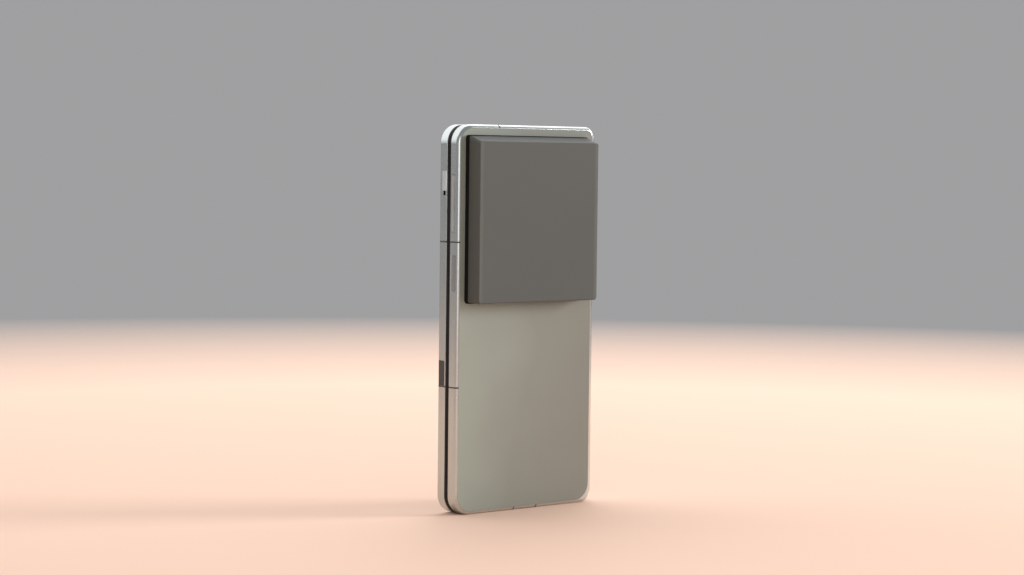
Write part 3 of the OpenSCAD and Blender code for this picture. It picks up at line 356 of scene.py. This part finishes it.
def front_glass():
    """Glass over a dark screen, its unlit area a little greyer than the black border, with a camera behind it."""
    s = Shader("front_glass", (0.006, 0.006, 0.008), 0.035, Coat_Weight=0.5, Coat_Roughness=0.01)
    low, high = local_box("cover_glass")
    border = 1.4
    x, z = s.axis("X"), s.axis("Z")
    sides = [
        s.math("SUBTRACT", x, low[0] + middle_x + border), s.math("SUBTRACT", high[0] + middle_x - border, x),
        s.math("SUBTRACT", z, low[2] + border), s.math("SUBTRACT", high[2] - border, z),
    ]
    inside = s.math("MINIMUM", s.math("MINIMUM", sides[0], sides[1]), s.math("MINIMUM", sides[2], sides[3]))
    lens_low, lens_high = local_box("front_camera")
    away = s.distance((lens_low[0] + lens_high[0]) / 2, (lens_low[2] + lens_high[2]) / 2)
    screen = s.mix(s.ranged(inside, 0, 0.1, 0, 1), (0.003, 0.003, 0.0035), (0.0085, 0.0085, 0.0105))
    haze = s.ranged(s.noise(0.15, 4), 0.3, 0.7, 0, 0.25)
    screen = s.mix(haze, screen, (0.012, 0.012, 0.014))
    hole = s.mix(s.ranged(away, 1.9, 1.95, 1, 0), screen, (0.001, 0.001, 0.001))
    hole = s.mix(painted_ring(s, away, 1.05, 1.3), hole, (0.03, 0.03, 0.033))
    s.color(s.mix(s.ranged(away, 0.5, 0.9, 1, 0), hole, (0.008, 0.012, 0.045)))
    s.rough(s.ranged(s.noise(0.5, 3), 0.3, 0.7, 0.03, 0.05))
    s.bump(s.noise(0.25, 1), 0.03, 0.01)
    return s.material


def lens_places():
    """The three cameras' axes across the round island, in this file's millimetres."""
    low, high = local_box("island_glass")
    middle = ((low[0] + high[0]) / 2, (low[2] + high[2]) / 2)
    turns = [math.radians(turn) for turn in LENS_TURNS]
    return [(middle[0] + LENS_CIRCLE * math.cos(t), middle[1] + LENS_CIRCLE * math.sin(t)) for t in turns]


def coated_lens():
    """Dark glass whose coating turns from violet in the middle to blue green outside."""
    s = Shader("coated_lens", (0.006, 0.008, 0.03), 0.03, Coat_Weight=0.6, Coat_Roughness=0.01)
    away = None
    for x, z in lens_places():
        one = s.distance(x, z)
        away = one if away is None else s.math("MINIMUM", away, one)
    tone = s.mix(s.ranged(away, 0.9, 1.8, 0, 1), (0.012, 0.009, 0.045), (0.003, 0.016, 0.018))
    s.color(s.mix(s.ranged(away, 0.2, 0.9, 1, 0), tone, (0.03, 0.008, 0.04)))
    s.rough(s.ranged(s.noise(0.8, 3), 0.3, 0.7, 0.025, 0.05))
    s.bump(s.noise(0.4, 1), 0.03, 0.01)
    return s.material


board_green = circuit_board()
screen_glass = front_glass()
lens_glass = coated_lens()
island_glass = gloss("island_glass", (0.006, 0.006, 0.008), 0.04, 0.01, Coat_Weight=0.5, Coat_Roughness=0.01)
amber_film = flex_film()
flash_clear = flash_lens()
panel = rear_panel()

MATERIALS = {
    "satin_aluminium": metal_satin,
    "antenna_plastic": plastic_band,
    "rear_glass": panel,
    "black_plastic": plastic_black,
    "screen_film": screen_film,
    "steel": steel,
    "dark_steel": steel_dark,
    "board_green": board_green,
    "battery_wrap": battery_wrap,
    "flex_film": amber_film,
    "cover_plastic": cover_shell(),
    "gasket_rubber": rubber,
    "cover_glass": screen_glass,
    "lens_black": lens_barrel,
    "flash_lens": flash_clear,
}
OWN = {
    "antenna_window": plastic_window,
    "volume_key": metal_rocker,
    "alert_slider": metal_slider,
    "power_key": metal_sensor,
    "spine_cover": metal_spine,
    "camera_island": metal_dark,
    "island_glass": island_glass,
}
SLOTS = {part["node"]: part["material_slot"] for part in frame["record"]["subparts"]}


def finish_cad(node, material):
    target = nodes[node].data
    target.materials.clear()
    target.materials.append(material)


# ---------------------------------------------------------------- floor and light


def add_light(name, location, target, width, height, power):
    """A rectangular lamp. Its places and sides are in metres, its power in watts."""
    data = bpy.data.lights.new(name, "AREA")
    data.shape, data.size, data.size_y = "RECTANGLE", width, height
    data.energy = power
    lamp = bpy.data.objects.new(name, data)
    bpy.context.scene.collection.objects.link(lamp)
    lamp.location = location
    lamp.rotation_euler = (Vector(target) - Vector(location)).to_track_quat("-Z", "Y").to_euler()


FLOOR_RADIUS = 1.4  # metres
FLOOR_DROP = 0.05  # millimetres under the phone
FLOOR_FADE = (520, 1150)  # millimetres from the phone, from solid to clear


def studio():
    """Grey world, soft lamps and a pale floor that fades out around the phone."""
    world = bpy.data.worlds.new("studio")
    world.use_nodes = True
    background = world.node_tree.nodes["Background"].inputs
    background["Color"].default_value = (0.35, 0.35, 0.356, 1)
    background["Strength"].default_value = 1.0
    bpy.context.scene.world = world
    middle = at(0, 0, 80)
    add_light("key", at(1944, -1123, 590), middle, 0.7, 0.7, 41)
    add_light("strip", at(-599, -922, 280), at(0, 0, 90), 0.65, 0.5, 1.7)
    add_light("overhead", at(0, 1230, 1130), middle, 3.2, 1.9, 21)
    add_light("overhead_side", at(1150, 540, 1200), middle, 1.7, 1.7, 13)

    mesh = bpy.data.meshes.new("floor")
    disc = bmesh.new()
    bmesh.ops.create_circle(disc, cap_ends=True, segments=96, radius=FLOOR_RADIUS)
    disc.to_mesh(mesh)
    disc.free()
    floor = bpy.data.objects.new("floor", mesh)
    floor.location = at(0, 0, -FLOOR_DROP)
    bpy.context.scene.collection.objects.link(floor)
    s = Shader("floor", (0.96, 0.675, 0.53), 0.8, Specular_IOR_Level=0.1)
    away = s.node("ShaderNodeVectorMath", {0: s.place}, operation="LENGTH").outputs["Value"]
    fade = s.ranged(away, *FLOOR_FADE, 0, 1)
    s.rough(s.ranged(s.noise(0.05, 3), 0.3, 0.7, 0.76, 0.84))
    clear = s.node("ShaderNodeBsdfTransparent").outputs[0]
    mixed = s.node("ShaderNodeMixShader", {0: fade, 1: s.bsdf.outputs[0], 2: clear}).outputs[0]
    s.tree.links.new(mixed, s.tree.nodes["Material Output"].inputs["Surface"])
    mesh.materials.append(s.material)


studio()


# ---------------------------------------------------------------- pieces


def add_piece(name, mesh, material, smooth=40):
    made = bpy.data.objects.new(name, mesh)
    bpy.context.scene.collection.objects.link(made)
    mesh.materials.append(material)
    mesh.shade_smooth()
    mesh.set_sharp_from_angle(angle=math.radians(smooth))
    return made


def band_mesh(name, sides, levels):
    """A strip from matching front and back lines in the plane of x and y, raised through the levels."""
    front, back = sides
    count = len(front)
    loop = list(front) + list(reversed(back))
    verts = [at(x, y, z) for z in levels for x, y in loop]
    size = len(loop)
    faces = []
    for row in range(len(levels) - 1):
        for i in range(size):
            j = (i + 1) % size
            faces.append((row * size + i, row * size + j, (row + 1) * size + j, (row + 1) * size + i))
    for row in (0, len(levels) - 1):
        for i in range(count - 1):
            a, b, c, d = i, i + 1, size - 2 - i, size - 1 - i
            ring = [row * size + k for k in (a, b, c, d)]
            faces.append(ring if row else ring[::-1])
    mesh = bpy.data.meshes.new(name)
    mesh.from_pydata(verts, [], faces)
    bm = bmesh.new()
    bm.from_mesh(mesh)
    bmesh.ops.recalc_face_normals(bm, faces=bm.faces)
    bm.to_mesh(mesh)
    bm.free()
    return mesh


def smoothstep_inverse(w):
    """Where between 0 and 1 a smooth step has risen to w."""
    return 0.5 - math.sin(math.asin(1 - 2 * w) / 3)


pivot = [c / MM - shift for c, shift in zip(fold_joint["pos_m"], (middle_x, fold_y, 0))]
FOLD_REACH = 1.0
screen_low, screen_high = local_box("inner_screen_camera_side")
SCREEN_FACE = screen_high[1] + 0.02
FACE_OFFSET = SCREEN_FACE - pivot[1]
FILM = 0.3


def fold_line(offset):
    """Rest line of a film that lies flat at this offset from the axis when its half is opened."""
    start = (pivot[0] - FOLD_REACH, pivot[1] + FACE_OFFSET)
    end_point = (pivot[0] - FACE_OFFSET, 0.0)
    length = ((end_point[0] - start[0]) + (end_point[1] - start[1])) * math.sqrt(0.5)
    points = []
    for i in range(41):
        w = i / 40
        turn = math.radians(90) * w
        lean = math.radians(45) - turn
        lead = (FOLD_REACH - FACE_OFFSET) * math.sqrt(0.5)
        along = (length * smoothstep_inverse(w) - lead - offset * math.sin(lean)) / math.cos(lean)
        x = along * math.cos(turn) - offset * math.sin(turn)
        y = along * math.sin(turn) + offset * math.cos(turn)
        points.append((pivot[0] + x, pivot[1] + y))
    return points, start, (start[0] + length * math.sqrt(0.5), start[1] + length * math.sqrt(0.5))


def mirrored(points):
    return [(x, -y) for x, y in points]


def fold_pieces():
    """The inner screen's fold, in two pieces that meet on the fold plane."""
    levels = [screen_low[2] + (screen_high[2] - screen_low[2]) * i / 12 for i in range(13)]
    front, start, end = fold_line(FACE_OFFSET)
    back, _, _ = fold_line(FACE_OFFSET - FILM)
    camera_piece = add_piece(
        "fold_film_camera_side", band_mesh("fold_film_a", (front, back), levels), screen_film, 60
    )
    display_piece = add_piece(
        "fold_film_display_side",
        band_mesh("fold_film_b", (mirrored(front), mirrored(back)), levels), screen_film, 60,
    )
    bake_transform(camera_piece)
    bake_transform(display_piece)
    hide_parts("inner_screen_fold")
    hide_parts("inner_screen_fold")


def cable_pieces():
    """The hinge's flex cable, in two pieces that meet on the fold plane."""
    low, high = local_box("hinge_flex_cable")
    thickness, bend, straight = 0.12, 0.8, 3.4
    x1, depth = high[0], -low[1]
    line = [(low[0] + (x1 - bend - low[0]) * i / 24, -depth) for i in range(25)]
    for i in range(1, 9):
        turn = math.radians(90) * i / 8
        line.append((x1 - bend + bend * math.sin(turn), -depth + bend - bend * math.cos(turn)))
    line += [(x1, (-depth + bend) * (1 - i / 8)) for i in range(1, 9)]
    inner = []
    for i, (x, y) in enumerate(line):
        before, after = line[max(i - 1, 0)], line[min(i + 1, len(line) - 1)]
        dx, dy = after[0] - before[0], after[1] - before[1]
        size = math.hypot(dx, dy)
        inner.append((x - dy / size * thickness, y + dx / size * thickness))
    levels = [low[2] + (high[2] - low[2]) * i / 6 for i in range(7)]
    start, end = (pivot[0] - straight, -depth), (x1, 0.0)
    for name, lines, bodies, ends in (
        ("flex_cable_camera_side", (line, inner), ("camera_half", "hinge_spine"), (start, end)),
        ("flex_cable_display_side", (mirrored(line), mirrored(inner)), ("hinge_spine", "display_half"),
         ((end[0], -end[1]), (start[0], -start[1]))),
    ):
        piece = add_piece(name, band_mesh(name, lines, levels), amber_film, 60)
        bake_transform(piece)
        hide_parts("hinge_flex_cable")


def lathe(mesh, profile, centre, face, steps=72):
    """Adds a closed section, as radius and height above a face that looks towards -Y, turned about its axis."""
    x, z = centre
    rings = []
    for i in range(steps):
        turn = 2 * math.pi * i / steps
        rings.append([
            mesh.verts.new(at(x + r * math.cos(turn), face - h, z + r * math.sin(turn))) for r, h in profile
        ])
    for i, ring in enumerate(rings):
        after = rings[(i + 1) % steps]
        for k in range(len(profile)):
            m = (k + 1) % len(profile)
            mesh.faces.new((ring[k], ring[m], after[m], after[k]))


def lens_pieces():
    """Rim, stepped barrel and domed front element of each rear camera, on the island's glass."""
    face = local_box("island_glass")[0][1]
    dome = [(1.9 * (1 - i / 8), 0.05 + 0.3 * (1 - (1 - i / 8) ** 2)) for i in range(8)] + [(0.001, 0.35)]
    sections = (
        ("lens_rims", metal_key, "satin_aluminium",
         [(4.15, -0.03), (4.9, -0.03), (4.9, 0.22), (4.85, 0.3),
          (4.75, 0.35), (4.3, 0.35), (4.2, 0.3), (4.15, 0.2)]),
        ("lens_barrels", lens_barrel, "lens_black",
         [(1.85, -0.02), (4.2, -0.02), (4.2, 0.16), (3.6, 0.16), (3.55, 0.12), (3.1, 0.12), (3.05, 0.09),
          (2.6, 0.09), (2.55, 0.06), (1.85, 0.06)]),
        ("lens_elements", lens_glass, "lens_black", [(0.001, -0.02), (1.9, -0.02), *dome]),
    )
    for name, material, slot_name, profile in sections:
        bm = bmesh.new()
        for centre in lens_places():
            lathe(bm, profile, centre, face)
        bmesh.ops.remove_doubles(bm, verts=bm.verts, dist=0.000002)
        bmesh.ops.recalc_face_normals(bm, faces=bm.faces)
        mesh = bpy.data.meshes.new(name)
        bm.to_mesh(mesh)
        bm.free()
        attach(add_piece(name, mesh, material, 30), "camera_half")


fold_pieces()
cable_pieces()
lens_pieces()

for name in nodes:
    finish_cad(name, OWN.get(name) or MATERIALS[SLOTS[name]])
